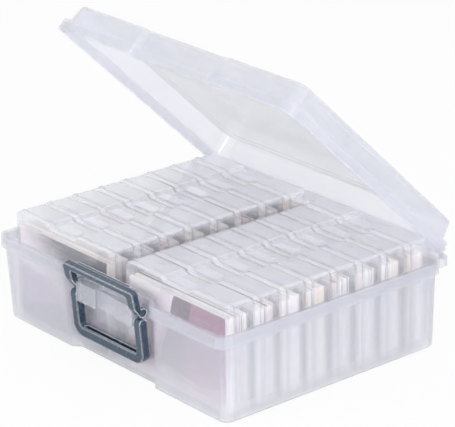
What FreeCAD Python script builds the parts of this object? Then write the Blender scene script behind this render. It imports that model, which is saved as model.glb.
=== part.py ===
"""Photo keeper case: a frosted outer case with a hinged lid, a front latch and carry handle,
and two columns of clear inner cases, each with its tray, its lid and its stack of prints.

Millimetres, +Z up, X along the front, the front face towards -Y.
The origin is the centre of the flat face that the case stands on.
The outer lid is shown part open and the latch leaning out, as the case is used.
"""
import FreeCAD, Part
import math
import os

os.makedirs("parts", exist_ok=True)

# Stack of prints in each inner case, which every other size follows
print_width = 152.0
print_height = 102.0
stack_thickness = 27.0
stack_front_gap = 0.3
stack_back_gap = 3.5
stack_side_gap = 3.9
stack_foot_gap = 0.2
stack_top_gap = 9.1

# Inner cases
inner_rows = 8
inner_wall = 1.3
inner_lid_thickness = 8.4
inner_corner_radius = 6.0
inner_face_radius = 2.0
seam_gap = 0.2
seam_bead_height = 0.8
seam_bead_width = 1.6

# Finger recess and tab on the top of each inner case
thumb_half_width = 25.0
thumb_depth = 4.0
thumb_side_run = 5.0
thumb_crease = 2.5
tab_half_width = 16.0
tab_reach = 10.5
tab_thickness = 1.5
tab_corner_radius = 3.5
tab_clearance = 0.3
catch_width = 20.0
catch_height = 1.6
catch_depth = 2.0

# Hinge at the foot of each inner case
knuckle_radius = 1.0
knuckle_length = 8.0
knuckle_inset = 27.5
knuckle_rise = 1.05
knuckle_gap = 0.3

inner_shell = inner_wall + seam_bead_height
inner_width = print_width + 2 * (stack_side_gap + inner_shell)
inner_height = print_height + stack_foot_gap + stack_top_gap + thumb_depth + 2 * inner_shell
inner_thickness = stack_thickness + stack_front_gap + stack_back_gap + 2 * inner_wall

# Room round the inner cases in the outer case
column_gap = 24.0
row_gap = 0.7
side_room = 3.5
front_room = 0.6
back_room = 5.5
floor_room = 0.3
lid_room = 5.7

# Outer case
tub_height = 96.5
lid_gap = 0.4
corner_radius = 11.5
tub_wall = 2.0
floor_thickness = 2.4
foot_radius = 3.0

# Rim band round the tub and the lid
rim_overhang = 3.5
rim_band_height = 13.0
lid_band_height = 12.0
rim_skin = 1.6

# How far each wall leans in over its height
tub_side_draft = 2.5
tub_front_draft = 6.0
tub_back_draft = 0.8
lid_draft = 4.5
lid_edge_radius = 3.0
lid_panel_inset = 16.0
lid_panel_step = 1.0

# Width over the arms of the latch and the handle
frame_half_width = 58.0

# Recess in the front of the tub, behind the latch and the handle
recess_side_room = 17.4
recess_side_run = 8.4
recess_depth = 10.8
recess_narrowing = 5.1
recess_crease = 5.0
recess_floor_draft = 2.2

# Recess in the front of the lid, above the latch
lid_recess_side_room = 8.0
lid_recess_side_run = 3.0
lid_recess_depth = 7.5
lid_recess_crease = 4.4
ledge_height = 8.3
ledge_reach = 5.5

# Sizes over the rims, worked out from what the case holds
inner_pitch = inner_thickness + row_gap
rows_depth = inner_rows * inner_pitch - row_gap
front_margin = rim_overhang + recess_depth + recess_floor_draft + tub_wall + front_room
back_margin = rim_overhang + tub_back_draft + tub_wall + back_room
side_margin = rim_overhang + tub_side_draft + tub_wall + side_room
rim_width = column_gap + 2 * (inner_width + side_margin)
rim_depth = front_margin + rows_depth + back_margin
inner_foot = floor_thickness + floor_room
lid_top = inner_foot + inner_height + lid_room + lid_panel_step + tub_wall
lid_height = lid_top - tub_height - lid_gap
front_face = -rim_depth / 2
recess_half_width = frame_half_width + recess_side_room
lid_recess_half_width = frame_half_width + lid_recess_side_room

# Lid hinge at the back
lid_open_angle = 44.0
hinge_axis_out = 5.0
hinge_knuckle_radius = 4.0
hinge_lug_radius = 4.2
hinge_pin_radius = 2.0
hinge_knuckle_length = 18.0
hinge_lug_length = 6.0
hinge_pin_reach = 4.5
hinge_inset = 21.5
hinge_arm_height = 8.0
hinge_lug_drop = 10.0
running_gap = 0.3
pin_clearance = 0.08

# Front latch
latch_lean_angle = 12.0
latch_arm_width = 11.5
latch_bar_height = 7.2
latch_thickness = 8.2
latch_above_ledge = 3.0
latch_setback = 5.1
latch_axis_setback = 6.0
latch_axis_drop = 15.0
latch_boss_radius = 4.8
latch_corner_radius = 4.0
latch_inner_radius = 2.5
latch_edge_radius = 1.0
latch_foot_rise = 8.0
latch_foot_half = 3.5
latch_foot_round = 3.0
hook_side_gap = 2.5
hook_reach = 3.6
hook_clearance = 0.4

latch_inner = frame_half_width - latch_arm_width
latch_top = tub_height + lid_gap + ledge_height + latch_above_ledge
latch_back = front_face + latch_setback
latch_axis_y = front_face + latch_axis_setback
latch_axis_z = tub_height - latch_axis_drop
latch_foot = latch_axis_z - latch_boss_radius

# Carry handle, whose arms turn on the middle of their thickness
handle_lean_angle = 5.0
handle_arm_width = 10.5
handle_bar_height = 11.0
handle_thickness = 10.0
handle_axis_setback = 6.0
handle_axis_drop = 12.5
handle_drop = 47.0
handle_round_share = 0.98
handle_corner_radius = 14.0
handle_inner_radius = 4.0
handle_edge_radius = 1.2
handle_end_radius = 2.0
handle_groove_end_gap = 3.5
handle_groove_width = 5.0
handle_groove_depth = 5.0
groove_end_share = 0.9

handle_inner = frame_half_width - handle_arm_width
handle_axis_y = front_face + handle_axis_setback
handle_axis_z = latch_axis_z - handle_axis_drop

# Brackets on the tub that carry the latch and the handle
bracket_length = 31.0
bracket_below_axis = 5.0
bracket_above_axis = 4.0
bracket_wall = 2.2
bridge_setback = 4.5
pivot_pin_radius = 2.0
pivot_pin_reach = 3.4
arm_gap = 0.5

bracket_outer = latch_inner - arm_gap
bracket_inner = bracket_outer - bracket_length
bracket_low = handle_axis_z - bracket_below_axis
bracket_top = latch_axis_z + bracket_above_axis

# One overrun serves every cut, and one tolerance finds the edges to round
overrun = 5.0
edge_tolerance = 0.005


def vector(x, y, z):
    return FreeCAD.Vector(x, y, z)


def box(low, high):
    """A box between two corners."""
    return Part.makeBox(high[0] - low[0], high[1] - low[1], high[2] - low[2], vector(*low))


def cylinder_along_x(start, length, y, z, radius):
    return Part.makeCylinder(radius, length, vector(start, y, z), vector(1, 0, 0))


def mirrored(shape):
    """The shape's copy on the other side of the middle plane."""
    return shape.mirror(vector(0, 0, 0), vector(1, 0, 0))


def turned(shape, y, z, degrees):
    """The shape turned about an axis along X."""
    copy = shape.copy()
    copy.rotate(vector(0, y, z), vector(1, 0, 0), degrees)
    return copy


def offset_corners(corners, distance):
    """Corners of a closed outline moved outwards. A corner is (a, b, radius), and a hollow
    corner's radius is negative, so the distance adds to either."""
    moved = []
    count = len(corners)
    for i in range(count):
        a, b, radius = corners[i]
        before = corners[i - 1]
        after = corners[(i + 1) % count]
        first = vector(b - before[1], before[0] - a, 0).normalize()
        second = vector(after[1] - b, a - after[0], 0).normalize()
        shift = (first + second) * (distance / (1 + first.dot(second)))
        moved.append((a + shift.x, b + shift.y, radius + distance))
    return moved


def blended_corners(low, high, share):
    """Corners part of the way from one outline to another."""
    return [
        tuple(p + (q - p) * share for p, q in zip(first, second))
        for first, second in zip(low, high)
    ]


def rounded_wire(points, radii):
    """A closed wire of straight runs with an arc at each corner."""
    arcs = []
    count = len(points)
    for i in range(count):
        corner = points[i]
        back = (points[i - 1] - corner).normalize()
        ahead = (points[(i + 1) % count] - corner).normalize()
        half_angle = back.getAngle(ahead) / 2
        radius = abs(radii[i])
        setback = radius / math.tan(half_angle)
        inward = (back + ahead).normalize()
        middle = corner + inward * (radius / math.sin(half_angle) - radius)
        arcs.append((corner + back * setback, middle, corner + ahead * setback))
    edges = []
    for i in range(count):
        start, middle, end = arcs[i]
        edges.append(Part.Arc(start, middle, end).toShape())
        edges.append(Part.LineSegment(end, arcs[(i + 1) % count][0]).toShape())
    return Part.Wire(edges)


def level_wire(corners, z):
    """An outline of (x, y, radius) corners at a height."""
    return rounded_wire([vector(x, y, z) for x, y, _ in corners], [r for _, _, r in corners])


def upright_wire(corners, y):
    """An outline of (x, z, radius) corners in a plane across Y."""
    return rounded_wire([vector(x, y, z) for x, z, _ in corners], [r for _, _, r in corners])


def tapered(low, low_z, high, high_z):
    """A solid between two outlines."""
    return Part.makeLoft([level_wire(low, low_z), level_wire(high, high_z)], True, True)


def prism(corners, low_z, high_z):
    return Part.Face(level_wire(corners, low_z)).extrude(vector(0, 0, high_z - low_z))


def slab(corners, front, back):
    return Part.Face(upright_wire(corners, front)).extrude(vector(0, back - front, 0))


def side_bar(corners, half_width):
    """A bar along X whose outline is seen from the side, as (y, z, radius) corners."""
    points = [vector(-half_width, y, z) for y, z, _ in corners]
    wire = rounded_wire(points, [r for _, _, r in corners])
    return Part.Face(wire).extrude(vector(2 * half_width, 0, 0))


def ring(outer, inner, low_z, high_z):
    """A band between two outlines."""
    return prism(outer, low_z, high_z).cut(prism(inner, low_z - overrun, high_z + overrun))


def wall_outline(half_width, front, back, radius, cut_half, cut_run, cut_depth, crease):
    """The outline of a wall with a sloped recess in the middle of its front."""
    floor_y = front + cut_depth
    return [
        (-half_width, front, radius),
        (-cut_half, front, crease),
        (-cut_half + cut_run, floor_y, -crease),
        (cut_half - cut_run, floor_y, -crease),
        (cut_half, front, crease),
        (half_width, front, radius),
        (half_width, back, radius),
        (-half_width, back, radius),
    ]


def tub_outlines():
    """The tub's outer wall at the floor and at the rim."""
    half = rim_width / 2 - rim_overhang
    front = front_face + rim_overhang
    back = rim_depth / 2 - rim_overhang
    high = wall_outline(
        half, front, back, corner_radius, recess_half_width, recess_side_run, recess_depth, recess_crease
    )
    floor_depth = recess_depth + recess_floor_draft - tub_front_draft
    low = wall_outline(
        half - tub_side_draft,
        front + tub_front_draft,
        back - tub_back_draft,
        corner_radius,
        recess_half_width - recess_narrowing,
        recess_side_run,
        floor_depth,
        recess_crease,
    )
    return low, high


def lid_outlines():
    """The lid's outer wall at its rim and at its top."""
    half = rim_width / 2 - rim_overhang
    front = front_face + rim_overhang
    back = rim_depth / 2 - rim_overhang
    low = wall_outline(
        half,
        front,
        back,
        corner_radius,
        lid_recess_half_width,
        lid_recess_side_run,
        lid_recess_depth,
        lid_recess_crease,
    )
    high = wall_outline(
        half - lid_draft,
        front + lid_draft,
        back - lid_draft,
        corner_radius,
        lid_recess_half_width,
        lid_recess_side_run,
        lid_recess_depth - lid_draft,
        lid_recess_crease,
    )
    return low, high


def hinge_axis():
    """Where the lid's hinge line crosses the middle plane."""
    return rim_depth / 2 + hinge_axis_out, tub_height + lid_gap / 2


def knuckle_start():
    """Where the lid's knuckle on the right begins along X."""
    return rim_width / 2 - hinge_inset - hinge_knuckle_length / 2


def level_edges(shape, z):
    """The edges that lie at a height."""
    return [
        e
        for e in shape.Edges
        if abs(e.BoundBox.ZMin - z) < edge_tolerance and abs(e.BoundBox.ZMax - z) < edge_tolerance
    ]


def rounded_faces(shape, places, radius):
    """The shape with the edges rounded that lie in planes across Y."""
    edges = [
        e
        for e in shape.Edges
        for y in places
        if abs(e.BoundBox.YMin - y) < edge_tolerance and abs(e.BoundBox.YMax - y) < edge_tolerance
    ]
    return shape.makeFillet(radius, edges)


def brackets():
    """Two hollow blocks in the recess that the latch and the handle turn in, and the lower
    bridge between them."""
    low, high = tub_outlines()
    wall_y = low[2][1] + (high[2][1] - low[2][1]) * bracket_low / tub_height
    top = tub_height - rim_band_height
    back = wall_y + tub_wall / 2
    inside_back = wall_y - tub_wall / 2
    overlap = bracket_wall / 2
    bridge_half = bracket_inner + overlap
    bridge_front = front_face + bridge_setback
    bridge = box((-bridge_half, bridge_front, bracket_low), (bridge_half, back, top))
    bridge = bridge.cut(
        box(
            (-bracket_inner - overrun, bridge_front + bracket_wall, bracket_low - overrun),
            (bracket_inner + overrun, inside_back, top - bracket_wall),
        )
    )
    block = box((bracket_inner, front_face, bracket_low), (bracket_outer, back, bracket_top))
    block = block.cut(
        box(
            (bracket_inner + bracket_wall, front_face + bracket_wall, bracket_low - overrun),
            (bracket_outer - bracket_wall, inside_back, bracket_top - bracket_wall),
        )
    )
    for y, z in ((latch_axis_y, latch_axis_z), (handle_axis_y, handle_axis_z)):
        start = bracket_outer - bracket_wall - overrun
        hole = cylinder_along_x(start, 2 * overrun, y, z, pivot_pin_radius + pin_clearance)
        block = block.cut(hole)
    return [bridge, block, mirrored(block)]


def hinge_lug(start, length):
    """One ear of the tub's hinge, with its hole."""
    axis_y, axis_z = hinge_axis()
    back_face = rim_depth / 2
    round_end = cylinder_along_x(start, length, axis_y, axis_z, hinge_lug_radius)
    web = box(
        (start, back_face - rim_skin, axis_z - hinge_lug_drop),
        (start + length, axis_y + hinge_lug_radius, axis_z),
    )
    web = web.cut(
        box(
            (start - overrun, back_face - overrun, tub_height),
            (start + length + overrun, back_face, axis_z + overrun),
        )
    )
    hole_radius = hinge_pin_radius + pin_clearance
    hole = cylinder_along_x(start - overrun, length + 2 * overrun, axis_y, axis_z, hole_radius)
    return round_end.fuse(web).cut(hole)


def base_tub():
    low, high = tub_outlines()
    body = tapered(low, 0, high, tub_height)
    body = body.makeFillet(foot_radius, level_edges(body, 0))
    floor_share = floor_thickness / tub_height
    above_share = 1 + overrun / tub_height
    cavity = tapered(
        offset_corners(blended_corners(low, high, floor_share), -tub_wall),
        floor_thickness,
        offset_corners(blended_corners(low, high, above_share), -tub_wall),
        tub_height + overrun,
    )
    body = body.cut(cavity)
    outside = offset_corners(high, rim_overhang)
    inside = offset_corners(outside, -rim_skin)
    plate = ring(outside, offset_corners(high, -tub_wall / 2), tub_height - rim_skin, tub_height)
    skirt = ring(outside, inside, tub_height - rim_band_height, tub_height)
    body = body.fuse([plate, skirt] + brackets())
    inner_start = knuckle_start() - running_gap - hinge_lug_length
    outer_start = knuckle_start() + hinge_knuckle_length + running_gap
    for start in (inner_start, outer_start):
        lug = hinge_lug(start, hinge_lug_length)
        body = body.fuse([lug, mirrored(lug)])
    return body.removeSplitter()


def lid_knuckle():
    """The lid's half of one hinge, with its studs."""
    axis_y, axis_z = hinge_axis()
    start = knuckle_start()
    barrel = cylinder_along_x(start, hinge_knuckle_length, axis_y, axis_z, hinge_knuckle_radius)
    stud_length = hinge_knuckle_length + 2 * hinge_pin_reach
    stud = cylinder_along_x(start - hinge_pin_reach, stud_length, axis_y, axis_z, hinge_pin_radius)
    arm_low = tub_height + lid_gap + rim_skin
    arm = box(
        (start, rim_depth / 2 - rim_skin, arm_low),
        (start + hinge_knuckle_length, axis_y + hinge_knuckle_radius / 2, arm_low + hinge_arm_height),
    )
    return barrel.fuse([stud, arm])


def panel_field(outline, inset):
    """The sunk middle of the lid's top."""
    corners = offset_corners(outline, -inset)
    around = [corners[0], corners[5], corners[6], corners[7]]
    return [(x, y, corner_radius) for x, y, _ in around]


def outer_lid():
    low, high = lid_outlines()
    foot_z = tub_height + lid_gap
    top_z = foot_z + lid_height
    body = tapered(low, foot_z, high, top_z)
    body = body.makeFillet(lid_edge_radius, level_edges(body, top_z))
    below_share = -overrun / lid_height
    ceiling_share = 1 - tub_wall / lid_height
    cavity = tapered(
        offset_corners(blended_corners(low, high, below_share), -tub_wall),
        foot_z - overrun,
        offset_corners(blended_corners(low, high, ceiling_share), -tub_wall),
        top_z - tub_wall,
    )
    outer_field = panel_field(high, lid_panel_inset)
    inner_field = panel_field(high, lid_panel_inset - tub_wall)
    cavity = cavity.cut(prism(inner_field, top_z - tub_wall - lid_panel_step, top_z))
    body = body.cut(cavity).cut(prism(outer_field, top_z - lid_panel_step, top_z + overrun))
    shoulder_z = foot_z + lid_band_height
    band_share = lid_band_height / lid_height
    outside = offset_corners(low, rim_overhang)
    inside = offset_corners(outside, -rim_skin)
    wall_middle = offset_corners(blended_corners(low, high, band_share), -tub_wall / 2)
    shoulder = ring(outside, wall_middle, shoulder_z - rim_skin, shoulder_z)
    skirt = ring(outside, inside, foot_z, shoulder_z)
    band = shoulder.fuse(skirt)
    floor_y = low[2][1]
    clear_half = lid_recess_half_width - rim_overhang - rim_skin - lid_recess_side_run
    band = band.cut(
        box(
            (-clear_half, floor_y - ledge_reach - overrun, foot_z + ledge_height),
            (clear_half, floor_y, shoulder_z + overrun),
        )
    )
    ledge = box(
        (-clear_half, floor_y - ledge_reach, foot_z),
        (clear_half, floor_y + tub_wall / 2, foot_z + ledge_height),
    )
    knuckle = lid_knuckle()
    body = body.fuse([band, ledge, knuckle, mirrored(knuckle)]).removeSplitter()
    axis_y, axis_z = hinge_axis()
    return turned(body, axis_y, axis_z, -lid_open_angle)


def pivot_pin(arm_inner, y, z):
    """The stud on an arm's inner side that sits in a bracket's hole."""
    start = bracket_outer - pivot_pin_reach
    return cylinder_along_x(start, arm_inner + pivot_pin_reach - start, y, z, pivot_pin_radius)


def front_latch():
    """The upper frame, whose bar hooks over the lid's ledge."""
    front = latch_back - latch_thickness
    half = frame_half_width
    inner = latch_inner
    bar_low = latch_top - latch_bar_height
    outline = [
        (-half, latch_foot, latch_inner_radius),
        (-half, latch_top, latch_corner_radius),
        (half, latch_top, latch_corner_radius),
        (half, latch_foot, latch_inner_radius),
        (inner, latch_foot, latch_inner_radius),
        (inner, bar_low, -latch_inner_radius),
        (-inner, bar_low, -latch_inner_radius),
        (-inner, latch_foot, latch_inner_radius),
    ]
    frame = rounded_faces(slab(outline, front, latch_back), (front, latch_back), latch_edge_radius)
    side = [
        (front, latch_axis_z + latch_foot_rise, latch_foot_round),
        (front, latch_top + overrun, latch_edge_radius),
        (latch_back + overrun, latch_top + overrun, latch_edge_radius),
        (latch_back + overrun, latch_foot, latch_edge_radius),
        (latch_axis_y - latch_foot_half, latch_foot, latch_edge_radius),
    ]
    frame = frame.common(side_bar(side, half + overrun))
    lip_low = tub_height + lid_gap + ledge_height + hook_clearance
    lip = box(
        (hook_side_gap - inner, latch_back - hook_reach / 2, lip_low),
        (inner - hook_side_gap, latch_back + hook_reach, latch_top - latch_inner_radius / 2),
    )
    boss = cylinder_along_x(inner, half - inner, latch_axis_y, latch_axis_z, latch_boss_radius)
    boss = boss.fuse(pivot_pin(inner, latch_axis_y, latch_axis_z))
    frame = frame.fuse([lip, boss, mirrored(boss)]).removeSplitter()
    return turned(frame, latch_axis_y, latch_axis_z, latch_lean_angle)


def carry_handle():
    """The lower frame, which hangs in the recess."""
    front = handle_axis_y - handle_thickness / 2
    back = handle_axis_y + handle_thickness / 2
    half = frame_half_width
    inner = handle_inner
    top = handle_axis_z + handle_thickness / 2
    low = handle_axis_z - handle_drop
    bar_top = low + handle_bar_height
    outline = [
        (-half, top, handle_end_radius),
        (-half, low, handle_corner_radius),
        (half, low, handle_corner_radius),
        (half, top, handle_end_radius),
        (inner, top, handle_end_radius),
        (inner, bar_top, -handle_inner_radius),
        (-inner, bar_top, -handle_inner_radius),
        (-inner, top, handle_end_radius),
    ]
    frame = rounded_faces(slab(outline, front, back), (front, back), handle_edge_radius)
    end_radius = handle_round_share * handle_thickness / 2
    side = [
        (front, low - overrun, handle_edge_radius),
        (back, low - overrun, handle_edge_radius),
        (back, top, end_radius),
        (front, top, end_radius),
    ]
    frame = frame.common(side_bar(side, half + overrun))
    groove_half = handle_groove_width / 2
    end = groove_half * groove_end_share
    reach = inner - handle_groove_end_gap
    groove = [
        (-reach, handle_axis_y - groove_half, end),
        (reach, handle_axis_y - groove_half, end),
        (reach, handle_axis_y + groove_half, end),
        (-reach, handle_axis_y + groove_half, end),
    ]
    frame = frame.cut(prism(groove, bar_top - handle_groove_depth, bar_top + overrun))
    pin = pivot_pin(inner, handle_axis_y, handle_axis_z)
    frame = frame.fuse([pin, mirrored(pin)]).removeSplitter()
    return turned(frame, handle_axis_y, handle_axis_z, handle_lean_angle)


def inner_outline(middle, foot, inset):
    """The inner case seen from its front, with the finger recess in its top."""
    half = inner_width / 2 - seam_bead_height
    high = inner_height - seam_bead_height
    corners = [
        (middle - half, foot + seam_bead_height, inner_corner_radius),
        (middle + half, foot + seam_bead_height, inner_corner_radius),
        (middle + half, foot + high, inner_corner_radius),
        (middle + thumb_half_width, foot + high, thumb_crease),
        (middle + thumb_half_width - thumb_side_run, foot + high - thumb_depth, -thumb_crease),
        (middle - thumb_half_width + thumb_side_run, foot + high - thumb_depth, -thumb_crease),
        (middle - thumb_half_width, foot + high, thumb_crease),
        (middle - half, foot + high, inner_corner_radius),
    ]
    return offset_corners(corners, -inset)


def knuckles(middle, seam, foot, offset, radius, length):
    """Barrels of the inner case's hinge, one at each side."""
    place = inner_width / 2 - knuckle_inset
    starts = [middle + side * place + offset - length / 2 for side in (-1, 1)]
    return [cylinder_along_x(start, length, seam, foot + knuckle_rise, radius) for start in starts]


def inner_tray(middle, front, foot):
    """The deep half of an inner case, open to the front."""
    seam = front + inner_lid_thickness + seam_gap / 2
    back = front + inner_thickness
    outline = inner_outline(middle, foot, 0)
    hollow = inner_outline(middle, foot, inner_wall)
    body = rounded_faces(slab(outline, seam, back), (back,), inner_face_radius)
    bead = slab(offset_corners(outline, seam_bead_height), seam, seam + seam_bead_width)
    body = body.fuse(bead).cut(slab(hollow, seam - overrun, back - inner_wall))
    catch_z = foot + inner_height - seam_bead_height - thumb_depth
    catch_y = front + inner_lid_thickness + tab_reach + tab_clearance
    catch = box(
        (middle - catch_width / 2, catch_y, catch_z - inner_wall / 2),
        (middle + catch_width / 2, catch_y + catch_depth, catch_z + catch_height),
    )
    own = knuckles(middle, seam, foot, 0, knuckle_radius, knuckle_length)
    step = knuckle_length + knuckle_gap
    room = knuckle_length + 2 * knuckle_gap
    others = knuckles(middle, seam, foot, step, knuckle_radius + knuckle_gap, room)
    body = body.cut(others[0]).cut(others[1])
    return body.fuse([catch] + own).removeSplitter()


def inner_lid(middle, front, foot):
    """The shallow half of an inner case, with the snap tab at its top."""
    seam = front + inner_lid_thickness - seam_gap / 2
    outline = inner_outline(middle, foot, 0)
    hollow = inner_outline(middle, foot, inner_wall)
    body = rounded_faces(slab(outline, front, seam), (front,), inner_face_radius)
    bead = slab(offset_corners(outline, seam_bead_height), seam - seam_bead_width, seam)
    body = body.fuse(bead).cut(slab(hollow, front + inner_wall, seam + overrun))
    tab_z = foot + inner_height - seam_bead_height - thumb_depth + seam_bead_height + tab_clearance
    half = tab_half_width
    tab_outline = [
        (middle - half, front + inner_lid_thickness / 2, tab_corner_radius),
        (middle + half, front + inner_lid_thickness / 2, tab_corner_radius),
        (middle + half, front + inner_lid_thickness + tab_reach, tab_corner_radius),
        (middle - half, front + inner_lid_thickness + tab_reach, tab_corner_radius),
    ]
    tab = prism(tab_outline, tab_z, tab_z + tab_thickness)
    root_half = half - tab_corner_radius
    root_low = tab_z - seam_bead_height - inner_wall
    root = box(
        (middle - root_half, front + inner_lid_thickness / 2, root_low),
        (middle + root_half, seam, tab_z + tab_thickness / 2),
    )
    tray_seam = seam + seam_gap
    step = knuckle_length + knuckle_gap
    own = knuckles(middle, tray_seam, foot, step, knuckle_radius, knuckle_length)
    room = knuckle_length + 2 * knuckle_gap
    others = knuckles(middle, tray_seam, foot, 0, knuckle_radius + knuckle_gap, room)
    body = body.cut(others[0]).cut(others[1])
    return body.fuse([tab, root] + own).removeSplitter()


def print_stack(middle, front, foot):
    """The prints, standing on the tray's lower wall."""
    start = front + inner_wall + stack_front_gap
    low = foot + inner_shell + stack_foot_gap
    return box(
        (middle - print_width / 2, start, low),
        (middle + print_width / 2, start + stack_thickness, low + print_height),
    )


def save(shape, node):
    """One STEP file with the node's solids."""
    solids = shape.Solids
    whole = solids[0] if len(solids) == 1 else Part.makeCompound(solids)
    whole.exportStep("parts/" + node + ".step")


save(base_tub(), "base_tub")
save(outer_lid(), "outer_lid")
save(front_latch(), "front_latch")
save(carry_handle(), "carry_handle")

number = 0
for side in (1, -1):
    for row in range(inner_rows):
        number += 1
        middle_x = side * (column_gap + inner_width) / 2
        front_y = front_face + front_margin + row * inner_pitch
        name = "case_%02d" % number
        save(inner_tray(middle_x, front_y, inner_foot), name + "_tray")
        save(inner_lid(middle_x, front_y, inner_foot), name + "_lid")
        save(print_stack(middle_x, front_y, inner_foot), name + "_prints")
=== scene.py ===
"""Looks of the photo keeper case: frosted outer case, clear inner cases, blue-grey latch and handle,
and a stack of separate prints in each inner case. Metres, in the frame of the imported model."""

import math
import random

import bmesh
import bpy
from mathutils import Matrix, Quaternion, Vector

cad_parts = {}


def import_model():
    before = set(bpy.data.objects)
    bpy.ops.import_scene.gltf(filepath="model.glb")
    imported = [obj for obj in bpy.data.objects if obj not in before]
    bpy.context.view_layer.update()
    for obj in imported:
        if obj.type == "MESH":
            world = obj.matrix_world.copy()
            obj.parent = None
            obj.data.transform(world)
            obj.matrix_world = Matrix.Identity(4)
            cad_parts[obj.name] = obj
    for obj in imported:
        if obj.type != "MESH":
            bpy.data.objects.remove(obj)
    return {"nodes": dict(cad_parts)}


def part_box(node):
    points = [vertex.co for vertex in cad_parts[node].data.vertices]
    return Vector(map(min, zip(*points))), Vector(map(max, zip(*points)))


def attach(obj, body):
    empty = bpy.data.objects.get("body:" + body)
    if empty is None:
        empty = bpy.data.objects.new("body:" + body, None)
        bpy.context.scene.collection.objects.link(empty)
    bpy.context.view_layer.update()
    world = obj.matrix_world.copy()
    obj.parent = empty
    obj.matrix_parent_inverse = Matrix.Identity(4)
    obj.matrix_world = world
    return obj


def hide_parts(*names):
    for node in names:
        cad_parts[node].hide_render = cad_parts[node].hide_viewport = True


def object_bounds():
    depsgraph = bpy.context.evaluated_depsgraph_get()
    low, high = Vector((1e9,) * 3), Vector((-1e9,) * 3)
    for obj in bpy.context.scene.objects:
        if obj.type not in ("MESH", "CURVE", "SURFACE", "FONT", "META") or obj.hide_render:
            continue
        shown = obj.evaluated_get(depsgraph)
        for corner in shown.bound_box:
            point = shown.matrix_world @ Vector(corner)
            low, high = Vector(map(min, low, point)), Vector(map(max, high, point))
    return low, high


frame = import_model()
cad_low, cad_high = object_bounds()

# The photograph's frame and the camera fitted to it
IMAGE_WIDTH = 455
FOCAL_PIXELS = 2600
SENSOR_MM = 36.0
CAMERA_PLACE = Vector((1.9496, -1.6183, 1.1261))
CAMERA_AIM = Vector((0.0065, 0.0098, 0.1334))
CAMERA_ROLL_DEG = -0.70
CAMERA_REACH = 50.0

# Inner cases, two columns of eight
CASE_COUNT = 16
CASE_NAMES = ["case_%02d" % (i + 1) for i in range(CASE_COUNT)]

# Stacks of prints: loose sheets, shifted sideways and cut short by a little
SHEETS = 22
SHEET_SLIP = 0.0007
SHEET_SHORT = 0.0022
SHEET_GAP_SHARE = 0.12
SHEET_CORNER = 0.0004
STACK_SEED = 11

# The number of the picture at the front of each case
PICTURE_ORDER = [0, 2, 3, 4, 2, 3, 0, 2, 1, 3, 2, 4, 3, 0, 4, 2]

# How often each paper comes: white, then the least and the spread for the others
WHITE_SHARE = 6.0
OTHER_SHARES = [(0.6, 2.2), (0.0, 2.4), (0.0, 0.8), (0.0, 0.5)]

# Plastics, as shares of opaque: where they are seen, and to light on its way in
FROSTED_HAZE = 0.46
# Painted light: the frosted plastic is more opaque and whiter at the foot of the tub
FROSTED_FOOT_HAZE = 0.56
# Painted highlight: the frosted plastic is more opaque along its painted-white edges
FROSTED_EDGE_HAZE = 0.80
CLEAR_SIDE_HAZE = 0.40
# Painted reflection: the clear plastic's tops are more opaque than its sides, standing in for overhead
# light reflected on them
CLEAR_TOP_HAZE_AND_SHEEN = 0.72
# Painted shade: the clear plastic is more opaque along its painted-dark edges
CLEAR_EDGE_HAZE = 0.85
LIGHT_STOPPED = 0.08

# Painted light: the frosted plastic is painted whiter below this height, by this share at the foot
FOOT_HEIGHT = 0.07
FOOT_PAINTED_LIGHT = 0.75

# Reach of the edge masks, which carry painted edge highlights and painted dark edge lines, and how far a
# rounded surface turns for a full edge
FROSTED_EDGE = 0.0014
CLEAR_EDGE = 0.0007
LATCH_EDGE = 0.0018
EDGE_TURN = 0.25
LATCH_EDGE_TURN = 0.045
EDGE_SAMPLES = 6
FLAT_FROM = 0.995

# Upright component of a normal where a face begins to look up, and where it does
UPWARD_FROM = 0.5
UPWARD_TO = 0.9

NOISE_ROUGHNESS = 0.55

# The middle of the values that a noise gives, stretched over a whole range
NOISE_LOW = 0.3
NOISE_HIGH = 0.7

# Pictures: blur of a hill's line, and how much lighter the flecks on a hill are
HILL_BLUR = 0.012
FLECK_GAIN = 1.7
FLECK_LIFT = 0.03
MIST_STRENGTH = 0.85

# Sockets of a Mix node: factor, first and second value, and the colour that comes out
MIX_FLOATS = (0, 2, 3)
MIX_COLOURS = (0, 6, 7)
MIX_COLOUR_OUT = 2

FLOOR_DROP = 0.0004
FLOOR_SIZE = 9.0
FLOOR_GLOW = 0.92
FLOOR_COLOUR = (0.86, 0.86, 0.87, 1.0)
FLOOR_ROUGHNESS = 0.9
WHITE = (1.0, 1.0, 1.0, 1.0)

# World strength on surfaces, and for gloss at the horizon and overhead
WORLD_ON_SURFACES = 0.75
GLOSS_LOW = 0.80
GLOSS_HIGH = 1.0
HORIZON = 0.05
OVERHEAD = 0.85

# Lamps: name, place, aim, size and watts
LAMPS = [
    ("key", (2.4, -1.0, 0.8), (0, 0, 0.05), (1.6, 1.0), 32),
    ("fill", (-1.0, -2.2, 1.0), (0, 0, 0.05), (1.2, 1.0), 14),
    ("sparkle", (2.3, -0.95, 1.35), (0, 0, 0.2), (0.8, 0.35), 9),
]


def linear(red, green, blue):
    """A colour given as 0 to 255, as the linear values that shaders take."""
    out = []
    for value in (red, green, blue):
        share = value / 255
        out.append(share / 12.92 if share <= 0.04045 else ((share + 0.055) / 1.055) ** 2.4)
    return (*out, 1.0)


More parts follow.
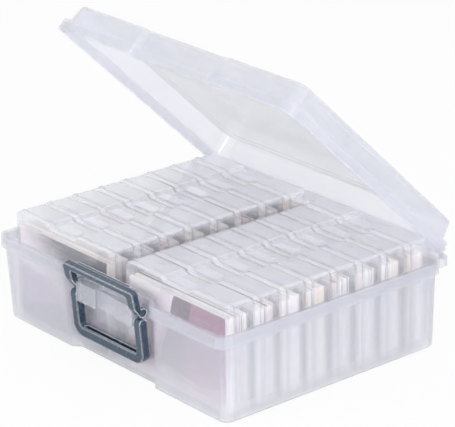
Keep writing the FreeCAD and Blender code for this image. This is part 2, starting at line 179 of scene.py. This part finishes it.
class Shader:
    """A node material with one Principled shader, and short calls for its nodes."""

    def __init__(self, name):
        self.material = bpy.data.materials.new(name)
        self.material.use_nodes = True
        self.nodes = self.material.node_tree.nodes
        self.links = self.material.node_tree.links
        self.main = self.nodes["Principled BSDF"]

    def add(self, kind, **settings):
        node = self.nodes.new(kind)
        for key, value in settings.items():
            setattr(node, key, value)
        return node

    def link(self, source, target):
        self.links.new(source, target)

    def set(self, **values):
        for key, value in values.items():
            self.main.inputs[key.replace("_", " ")].default_value = value

    def place(self):
        """The object's own coordinates, which are the frame's."""
        return self.add("ShaderNodeTexCoord").outputs["Object"]

    def noise(self, scale, detail=3.0, vector=None, stretch=None):
        """Cloudy values about 0.5."""
        source = vector or self.place()
        if stretch is not None:
            mapping = self.add("ShaderNodeMapping")
            mapping.inputs["Scale"].default_value = stretch
            self.link(source, mapping.inputs["Vector"])
            source = mapping.outputs["Vector"]
        node = self.add("ShaderNodeTexNoise")
        node.inputs["Scale"].default_value = scale
        node.inputs["Detail"].default_value = detail
        node.inputs["Roughness"].default_value = NOISE_ROUGHNESS
        self.link(source, node.inputs["Vector"])
        return node.outputs["Fac"]

    def ramp(self, source, stops):
        """A colour ramp. A stop is (place, colour)."""
        node = self.add("ShaderNodeValToRGB")
        elements = node.color_ramp.elements
        while len(elements) < len(stops):
            elements.new(0.5)
        for element, (place, colour) in zip(elements, stops):
            element.position = place
            element.color = colour
        self.link(source, node.inputs["Fac"])
        return node.outputs["Color"]

    def between(self, source, low, high, from_low=0.0, from_high=1.0):
        """The source's range from_low to from_high, stretched over low to high."""
        node = self.add("ShaderNodeMapRange")
        node.inputs["From Min"].default_value = from_low
        node.inputs["From Max"].default_value = from_high
        node.inputs["To Min"].default_value = low
        node.inputs["To Max"].default_value = high
        self.link(source, node.inputs["Value"])
        return node.outputs["Result"]

    def spread(self, source, low, high):
        """A noise stretched over low to high."""
        return self.between(source, low, high, NOISE_LOW, NOISE_HIGH)

    def split(self, vector):
        """X, Y and Z of a vector."""
        node = self.add("ShaderNodeSeparateXYZ")
        self.link(vector, node.inputs["Vector"])
        return node.outputs["X"], node.outputs["Y"], node.outputs["Z"]

    def math(self, operation, first, second):
        node = self.add("ShaderNodeMath", operation=operation)
        for socket, value in zip(node.inputs, (first, second)):
            if isinstance(value, (int, float)):
                socket.default_value = value
            else:
                self.link(value, socket)
        return node.outputs["Value"]

    def mix(self, factor, first, second):
        """A mix of two colours, each a value or a socket."""
        node = self.add("ShaderNodeMix", data_type="RGBA")
        for number, value in zip(MIX_COLOURS, (factor, first, second)):
            if isinstance(value, (int, float, tuple)):
                node.inputs[number].default_value = value
            else:
                self.link(value, node.inputs[number])
        return node.outputs[MIX_COLOUR_OUT]

    def bump(self, height, strength, distance):
        node = self.add("ShaderNodeBump")
        node.inputs["Strength"].default_value = strength
        node.inputs["Distance"].default_value = distance
        self.link(height, node.inputs["Height"])
        self.link(node.outputs["Normal"], self.main.inputs["Normal"])

    def clears(self, haze, edge, edge_haze):
        """Opaque by the haze, or by the edge mask where that is more, but nearly clear to lamp light."""
        path = self.add("ShaderNodeLightPath")
        light = self.math("MAXIMUM", path.outputs["Is Shadow Ray"], path.outputs["Is Diffuse Ray"])
        seen = self.math("MAXIMUM", haze, self.math("MULTIPLY", edge, edge_haze))
        node = self.add("ShaderNodeMix", data_type="FLOAT")
        factor, first, second = (node.inputs[number] for number in MIX_FLOATS)
        self.link(light, factor)
        self.link(seen, first)
        second.default_value = LIGHT_STOPPED
        self.link(node.outputs[0], self.main.inputs["Alpha"])

    def edges(self, radius, turn=EDGE_TURN):
        """From 0 on flat faces to 1 on edges, where a rounded surface would face another way."""
        rounded = self.add("ShaderNodeBevel", samples=EDGE_SAMPLES)
        rounded.inputs["Radius"].default_value = radius
        along = self.add("ShaderNodeVectorMath", operation="DOT_PRODUCT")
        self.link(rounded.outputs["Normal"], along.inputs[0])
        self.link(self.add("ShaderNodeNewGeometry").outputs["Normal"], along.inputs[1])
        return self.between(along.outputs["Value"], 1.0, 0.0, 1.0 - turn, FLAT_FROM)

    def upward(self):
        """1 on faces that look up on the object, 0 on upright ones."""
        _, _, rise = self.split(self.add("ShaderNodeTexCoord").outputs["Normal"])
        return self.between(rise, 0.0, 1.0, UPWARD_FROM, UPWARD_TO)

    def colour(self, source):
        self.link(source, self.main.inputs["Base Color"])

    def rough(self, source, low, high):
        """Roughness from low to high after a noise."""
        self.link(self.spread(source, low, high), self.main.inputs["Roughness"])


def frosted_plastic():
    """Milky polypropylene of the tub and the lid, with a painted highlight along its edges and painted
    light that whitens it towards the foot of the tub.
    """
    s = Shader("frosted_plastic")
    cloud = s.noise(9.0, detail=4.0)
    grain = s.noise(1400.0, detail=2.0)
    tint = s.ramp(cloud, [(NOISE_LOW, linear(216, 218, 231)), (NOISE_HIGH, linear(224, 226, 237))])
    _, _, height = s.split(s.place())
    foot = s.between(height, 1.0, 0.0, 0.0, FOOT_HEIGHT)
    edge = s.edges(FROSTED_EDGE)
    # Painted light: the colour turns whiter towards the foot of the tub
    tint = s.mix(s.math("MULTIPLY", foot, FOOT_PAINTED_LIGHT), tint, linear(243, 244, 250))
    # Painted highlight: the colour turns whiter along the edges
    s.colour(s.mix(edge, tint, linear(248, 249, 253)))
    s.rough(s.noise(55.0, detail=5.0), 0.07, 0.12)
    s.set(Transmission_Weight=0.60, IOR=1.45, Coat_Weight=0.6, Coat_Roughness=0.05)
    s.clears(s.between(foot, FROSTED_HAZE, FROSTED_FOOT_HAZE), edge, FROSTED_EDGE_HAZE)
    s.bump(grain, 0.10, 0.00025)
    return s.material


def clear_plastic():
    """Clear polypropylene of the inner cases, with a painted reflection that makes its tops hazier, and
    painted dark lines along its edges.
    """
    s = Shader("clear_plastic")
    cloud = s.noise(26.0)
    tint = s.ramp(cloud, [(NOISE_LOW, linear(240, 242, 252)), (NOISE_HIGH, linear(247, 248, 254))])
    edge = s.edges(CLEAR_EDGE)
    # Painted shade: the colour turns dark along the edges
    s.colour(s.mix(edge, tint, linear(186, 189, 206)))
    s.rough(s.noise(160.0, detail=4.0), 0.03, 0.08)
    s.set(IOR=1.50, Coat_Weight=0.8, Coat_Roughness=0.03)
    # Painted reflection: tops are made less clear and more opaque, standing in for overhead light
    # reflected on them
    top = s.upward()
    s.link(s.between(top, 0.66, 0.52), s.main.inputs["Transmission Weight"])
    s.clears(s.between(top, CLEAR_SIDE_HAZE, CLEAR_TOP_HAZE_AND_SHEEN), edge, CLEAR_EDGE_HAZE)
    s.bump(s.noise(42.0, detail=1.0), 0.04, 0.0006)
    return s.material


def latch_plastic():
    """Blue-grey plastic with a metallic satin coat, and a painted highlight along its edges."""
    s = Shader("latch_plastic")
    body = s.ramp(s.noise(14.0), [(NOISE_LOW, linear(58, 74, 92)), (NOISE_HIGH, linear(68, 84, 102))])
    flecks = s.noise(3200.0, detail=1.0)
    body = s.mix(s.between(flecks, 0.0, 0.10, 0.55, 0.80), body, linear(120, 138, 150))
    # Painted highlight: the colour turns near-white along the edges
    s.colour(s.mix(s.edges(LATCH_EDGE, LATCH_EDGE_TURN), body, linear(232, 238, 244)))
    s.rough(s.noise(120.0, detail=4.0), 0.22, 0.30)
    s.set(Metallic=0.35, Coat_Weight=0.3, Coat_Roughness=0.06)
    s.bump(flecks, 0.02, 0.0001)
    return s.material


def paper(name, colour, darker):
    """Cut edge and back of a print."""
    s = Shader(name)
    fibre = s.noise(900.0, detail=2.0, stretch=(0.2, 6.0, 0.2))
    s.colour(s.ramp(fibre, [(0.30, darker), (0.65, colour)]))
    s.rough(s.noise(300.0), 0.35, 0.55)
    s.bump(fibre, 0.15, 0.0002)
    return s.material


def picture(name, sky_low, sky_high, hills, seed, lean=0.0, mist=0.0):
    """A made-up landscape: soft sky, rows of rolling hills from back to front, and mist at the foot.
    A hill is (base height, rise to the right, swell, spacing, colour), in shares of the print's height.
    Lean turns the sky's change of colour from upwards to the right. Mist is the height of the mist."""
    s = Shader(name)
    place = s.add("ShaderNodeUVMap").outputs["UV"]
    across, up, _ = s.split(place)
    cloud = s.noise(5.0 + seed % 3, detail=5.0, vector=place, stretch=(1.0, 3.0, 1.0))
    level = s.math("ADD", up, s.spread(cloud, -0.12, 0.12))
    level = s.math("ADD", level, s.between(across, -lean / 2, lean / 2))
    colour = s.ramp(level, [(0.15, sky_low), (0.95, sky_high)])
    for number, (base, rise, swell, spacing, tone) in enumerate(hills):
        line = s.add("ShaderNodeTexNoise", noise_dimensions="1D")
        line.inputs["Scale"].default_value = spacing
        line.inputs["Detail"].default_value = 4.0
        s.link(s.math("ADD", across, seed * 1.7 + number * 5.3), line.inputs["W"])
        height = s.spread(line.outputs["Fac"], base - swell, base + swell)
        height = s.math("ADD", height, s.math("MULTIPLY", across, rise))
        inside = s.between(s.math("SUBTRACT", height, up), 0.0, 1.0, -HILL_BLUR, HILL_BLUR)
        mottle = s.noise(24.0 + 9.0 * number, detail=6.0, vector=place)
        light = tuple(min(1.0, c * FLECK_GAIN + FLECK_LIFT) for c in tone[:3]) + (1.0,)
        flecked = s.mix(s.between(mottle, 0.0, 1.0, 0.35, 0.75), tone, light)
        colour = s.mix(inside, colour, flecked)
    if mist:
        veil = s.math("ADD", up, s.spread(cloud, -0.10, 0.10))
        colour = s.mix(s.between(veil, MIST_STRENGTH, 0.0, 0.0, mist), colour, sky_high)
    s.colour(colour)
    s.rough(s.noise(70.0, vector=place), 0.16, 0.28)
    return s.material


def print_papers():
    return [
        paper("paper_white", linear(244, 242, 243), linear(226, 223, 227)),
        paper("paper_cream", linear(243, 232, 220), linear(222, 206, 192)),
        paper("paper_pink", linear(236, 205, 206), linear(212, 172, 178)),
        paper("paper_mauve", linear(176, 158, 176), linear(140, 122, 146)),
        paper("paper_dark", linear(98, 88, 98), linear(66, 58, 68)),
    ]


def print_pictures():
    """Pictures for the stacks' front prints, in the photograph's range of colours."""
    mauve, plum, slate = linear(128, 74, 108), linear(66, 30, 60), linear(84, 84, 98)
    rose, sand, mist = linear(206, 146, 162), linear(214, 188, 172), linear(196, 196, 212)
    dusk, night, pale = linear(156, 128, 152), linear(52, 48, 58), linear(236, 226, 232)
    return [
        picture("picture_misty_crag", rose, pale,
                [(-1.15, 4.5, 0.10, 3.0, plum), (-2.00, 4.3, 0.45, 4.0, mauve)], 1, mist=0.26),
        picture("picture_night_shore", pale, night,
                [(0.60, -0.3, 0.06, 2.6, dusk), (0.30, -0.2, 0.08, 3.0, slate)], 2, lean=1.6),
        picture("picture_misty_lake", mist, pale,
                [(0.42, 0.0, 0.08, 2.4, dusk), (0.26, 0.1, 0.08, 3.6, slate)], 3),
        picture("picture_sand_dunes", sand, pale,
                [(0.60, -0.2, 0.12, 1.6, sand), (0.36, 0.0, 0.12, 2.2, rose)], 4),
        picture("picture_brown_moor", rose, slate,
                [(0.70, 0.1, 0.12, 2.6, dusk), (0.44, 0.0, 0.10, 3.3, plum)], 5),
    ]


def dress(node, material):
    """Gives a CAD node its material and nothing else."""
    obj = frame["nodes"][node]
    obj.data.materials.clear()
    obj.data.materials.append(material)


def add_sheet(mesh, uv, low, high, face_index, edge_index):
    """One print as a thin block with cut corners. Its front carries the picture."""
    corner = SHEET_CORNER
    outline = [
        (low[0] + corner, low[2]),
        (high[0] - corner, low[2]),
        (high[0], low[2] + corner),
        (high[0], high[2] - corner),
        (high[0] - corner, high[2]),
        (low[0] + corner, high[2]),
        (low[0], high[2] - corner),
        (low[0], low[2] + corner),
    ]
    front = [mesh.verts.new((x, low[1], z)) for x, z in outline]
    back = [mesh.verts.new((x, high[1], z)) for x, z in outline]
    faces = [(front, face_index), (list(reversed(back)), edge_index)]
    count = len(outline)
    for i in range(count):
        after = (i + 1) % count
        faces.append(([front[after], front[i], back[i], back[after]], edge_index))
    for corners, index in faces:
        face = mesh.faces.new(corners)
        face.material_index = index
        for loop in face.loops:
            x, _, z = loop.vert.co
            loop[uv].uv = ((x - low[0]) / (high[0] - low[0]), (z - low[2]) / (high[2] - low[2]))


def print_stack(case, picture_material, papers, weights, draw):
    """A stack of loose prints in place of the plain block, none reaching past it."""
    low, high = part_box(case + "_prints")
    mesh = bmesh.new()
    uv = mesh.loops.layers.uv.new("UVMap")
    pitch = (high.y - low.y) / SHEETS
    for number in range(SHEETS):
        start = low.y + number * pitch
        slip = draw.uniform(-SHEET_SLIP, SHEET_SLIP)
        short = draw.uniform(0, SHEET_SHORT) * (number > 0)
        index = 1 + draw.choices(range(len(papers)), weights)[0]
        sheet_low = (low.x + SHEET_SLIP + slip, start, low.z)
        end = start + pitch * (1 - SHEET_GAP_SHARE)
        sheet_high = (high.x - SHEET_SLIP + slip, end, high.z - short)
        add_sheet(mesh, uv, sheet_low, sheet_high, 0 if number == 0 else index, index)
    data = bpy.data.meshes.new(case + "_photo_stack")
    mesh.to_mesh(data)
    mesh.free()
    for material in [picture_material] + papers:
        data.materials.append(material)
    obj = bpy.data.objects.new(case + "_photo_stack", data)
    bpy.context.scene.collection.objects.link(obj)
    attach(obj, case)
    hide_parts(case + "_prints")


def all_print_stacks():
    papers = print_papers()
    pictures = print_pictures()
    draw = random.Random(STACK_SEED)
    for case, choice in zip(CASE_NAMES, PICTURE_ORDER):
        weights = [WHITE_SHARE] + [least + spread * draw.random() for least, spread in OTHER_SHARES]
        print_stack(case, pictures[choice], papers, weights, draw)


def dress_cad_nodes():
    frosted = frosted_plastic()
    clear = clear_plastic()
    satin = latch_plastic()
    for node in ("base_tub", "outer_lid"):
        dress(node, frosted)
    for node in ("front_latch", "carry_handle"):
        dress(node, satin)
    for case in CASE_NAMES:
        dress(case + "_tray", clear)
        dress(case + "_lid", clear)


def floor():
    """A white sweep that keeps a soft shadow."""
    s = Shader("floor_white")
    s.set(Base_Color=FLOOR_COLOUR, Roughness=FLOOR_ROUGHNESS)
    path = s.add("ShaderNodeLightPath")
    seen = s.math("MAXIMUM", path.outputs["Is Camera Ray"], path.outputs["Is Transmission Ray"])
    glow = s.add("ShaderNodeEmission")
    glow.inputs["Color"].default_value = WHITE
    glow.inputs["Strength"].default_value = 1.0
    mix = s.add("ShaderNodeMixShader")
    s.link(s.math("MULTIPLY", seen, FLOOR_GLOW), mix.inputs["Fac"])
    s.link(s.main.outputs["BSDF"], mix.inputs[1])
    s.link(glow.outputs["Emission"], mix.inputs[2])
    s.link(mix.outputs["Shader"], s.nodes["Material Output"].inputs["Surface"])
    bpy.ops.mesh.primitive_plane_add(size=FLOOR_SIZE, location=(0, 0, cad_low.z - FLOOR_DROP))
    plane = bpy.context.object
    plane.name = "floor"
    plane.data.materials.append(s.material)


def world():
    """White where it is seen, brighter overhead for gloss, and a soft even light on surfaces."""
    sky = bpy.data.worlds.new("studio")
    bpy.context.scene.world = sky
    sky.use_nodes = True
    nodes, links = sky.node_tree.nodes, sky.node_tree.links
    path = nodes.new("ShaderNodeLightPath")
    direction = nodes.new("ShaderNodeTexCoord").outputs["Generated"]
    split = nodes.new("ShaderNodeSeparateXYZ")
    links.new(direction, split.inputs["Vector"])

    def choice(factor, first, second):
        node = nodes.new("ShaderNodeMix")
        for number, value in zip(MIX_FLOATS, (factor, first, second)):
            if isinstance(value, float):
                node.inputs[number].default_value = value
            else:
                links.new(value, node.inputs[number])
        return node.outputs[0]

    dome = nodes.new("ShaderNodeMapRange")
    dome.interpolation_type = "SMOOTHSTEP"
    dome.inputs["From Min"].default_value = HORIZON
    dome.inputs["From Max"].default_value = OVERHEAD
    dome.inputs["To Min"].default_value = GLOSS_LOW
    dome.inputs["To Max"].default_value = GLOSS_HIGH
    links.new(split.outputs["Z"], dome.inputs["Value"])
    level = choice(path.outputs["Is Glossy Ray"], WORLD_ON_SURFACES, dome.outputs["Result"])
    level = choice(path.outputs["Is Transmission Ray"], level, 1.0)
    level = choice(path.outputs["Is Camera Ray"], level, 1.0)
    links.new(level, nodes["Background"].inputs["Strength"])
    nodes["Background"].inputs["Color"].default_value = WHITE


def lamp(name, place, aim, size, watts):
    data = bpy.data.lights.new(name, "AREA")
    data.shape = "RECTANGLE"
    data.size, data.size_y = size
    data.energy = watts
    obj = bpy.data.objects.new(name, data)
    bpy.context.scene.collection.objects.link(obj)
    obj.location = place
    obj.rotation_mode = "QUATERNION"
    obj.rotation_quaternion = (Vector(aim) - Vector(place)).to_track_quat("-Z", "Y")


def camera():
    data = bpy.data.cameras.new("camera")
    data.sensor_width = SENSOR_MM
    data.lens = FOCAL_PIXELS * SENSOR_MM / IMAGE_WIDTH
    data.clip_end = CAMERA_REACH
    obj = bpy.data.objects.new("camera", data)
    bpy.context.scene.collection.objects.link(obj)
    obj.location = CAMERA_PLACE
    obj.rotation_mode = "QUATERNION"
    level = (CAMERA_AIM - CAMERA_PLACE).to_track_quat("-Z", "Y")
    obj.rotation_quaternion = level @ Quaternion((0, 0, 1), math.radians(CAMERA_ROLL_DEG))
    bpy.context.scene.camera = obj


camera()
world()
floor()
for settings in LAMPS:
    lamp(*settings)
dress_cad_nodes()
all_print_stacks()
bpy.context.scene.view_settings.view_transform = "Standard"
